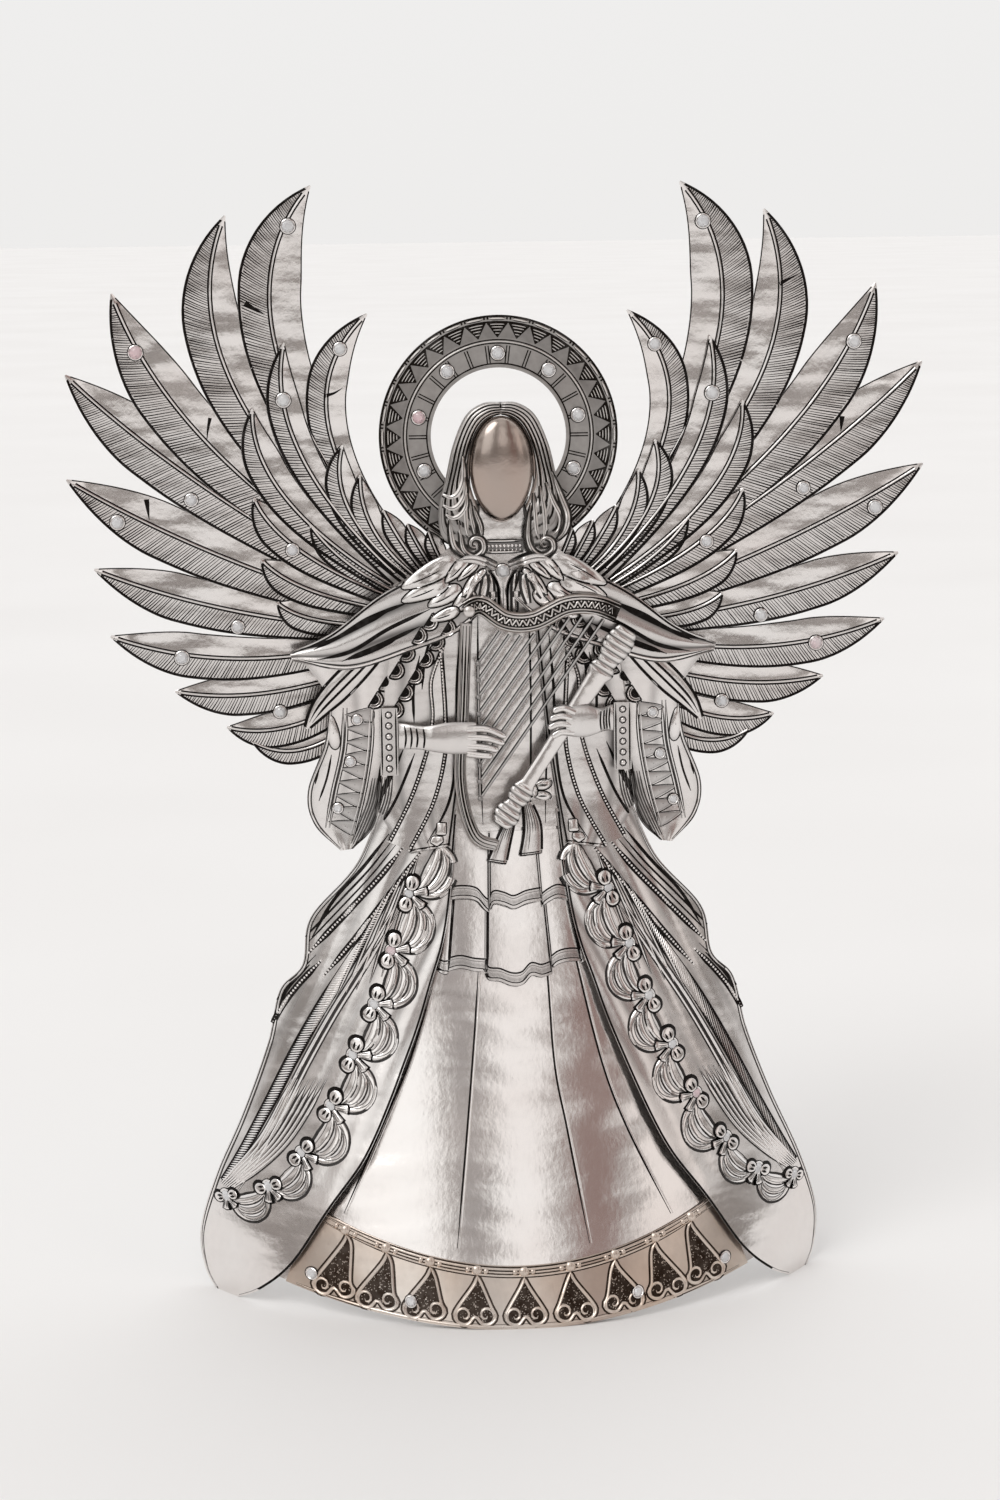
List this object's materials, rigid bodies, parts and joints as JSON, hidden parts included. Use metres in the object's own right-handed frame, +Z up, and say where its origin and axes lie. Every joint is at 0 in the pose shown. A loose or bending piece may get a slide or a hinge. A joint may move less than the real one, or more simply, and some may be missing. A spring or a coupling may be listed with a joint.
{
  "type": "angel tree topper",
  "caption": "Winged angel tree topper in embossed silver sheet: halo, harp, layered robe, curved skirt and a rolled cone behind that sits on the tree's tip.",
  "frame": {"origin": "under the middle of the whole figure, on the plane that the hem rests on", "axes": "+Z up, the figure faces -Y, +X to the viewer's right"},
  "size_m": [0.2536, 0.0662, 0.3262],
  "materials": {
    "silver_sheet": "polished and hammered, dark patina in the lines",
    "dark_relief": "antiqued, dark patina in the grooves, bright on the ridges",
    "polished_face": "smooth mirror polish",
    "back_metal": "satin, brushed",
    "crystal": "clear cut crystal"
  },
  "bodies": {
    "root": {"bodice": "silver_sheet", "cape_left": "silver_sheet", "cape_right": "silver_sheet", "cloak_left": "silver_sheet", "cloak_right": "silver_sheet", "collar": "silver_sheet", "collar_crystal": "crystal", "coverts_left": "silver_sheet", "coverts_right": "silver_sheet", "cuff_left": "silver_sheet", "cuff_right": "silver_sheet", "face": "polished_face", "hair": "dark_relief", "halo": "silver_sheet", "halo_crystal_1": "crystal", "halo_crystal_2": "crystal", "halo_crystal_3": "crystal", "halo_crystal_4": "crystal", "halo_crystal_5": "crystal", "halo_crystal_6": "crystal", "halo_crystal_7": "crystal", "hand_left": "silver_sheet", "hand_right": "silver_sheet", "harp_body": "dark_relief", "harp_neck": "dark_relief", "harp_pillar": "silver_sheet", "harp_strings": "silver_sheet", "hem_border": "dark_relief", "lower_tier": "silver_sheet", "rivet_1": "back_metal", "rivet_2": "back_metal", "rivet_3": "back_metal", "rivet_4": "back_metal", "robe_front_left": "silver_sheet", "robe_front_right": "silver_sheet", "sash_bow": "silver_sheet", "sash_tails": "silver_sheet", "skirt": "silver_sheet", "sleeve_left": "silver_sheet", "sleeve_right": "silver_sheet", "spacer_left": "back_metal", "spacer_right": "back_metal", "spine": "back_metal", "tree_cone": "back_metal", "upper_tier": "silver_sheet", "waist_band": "silver_sheet", "wing_bar": "back_metal", "wing_crystal_left_1": "crystal", "wing_crystal_left_2": "crystal", "wing_crystal_left_3": "crystal", "wing_crystal_left_4": "crystal", "wing_crystal_left_5": "crystal", "wing_crystal_right_1": "crystal", "wing_crystal_right_2": "crystal", "wing_crystal_right_3": "crystal", "wing_crystal_right_4": "crystal", "wing_crystal_right_5": "crystal", "wing_left": "silver_sheet", "wing_right": "silver_sheet"}
  },
  "joints": []
}
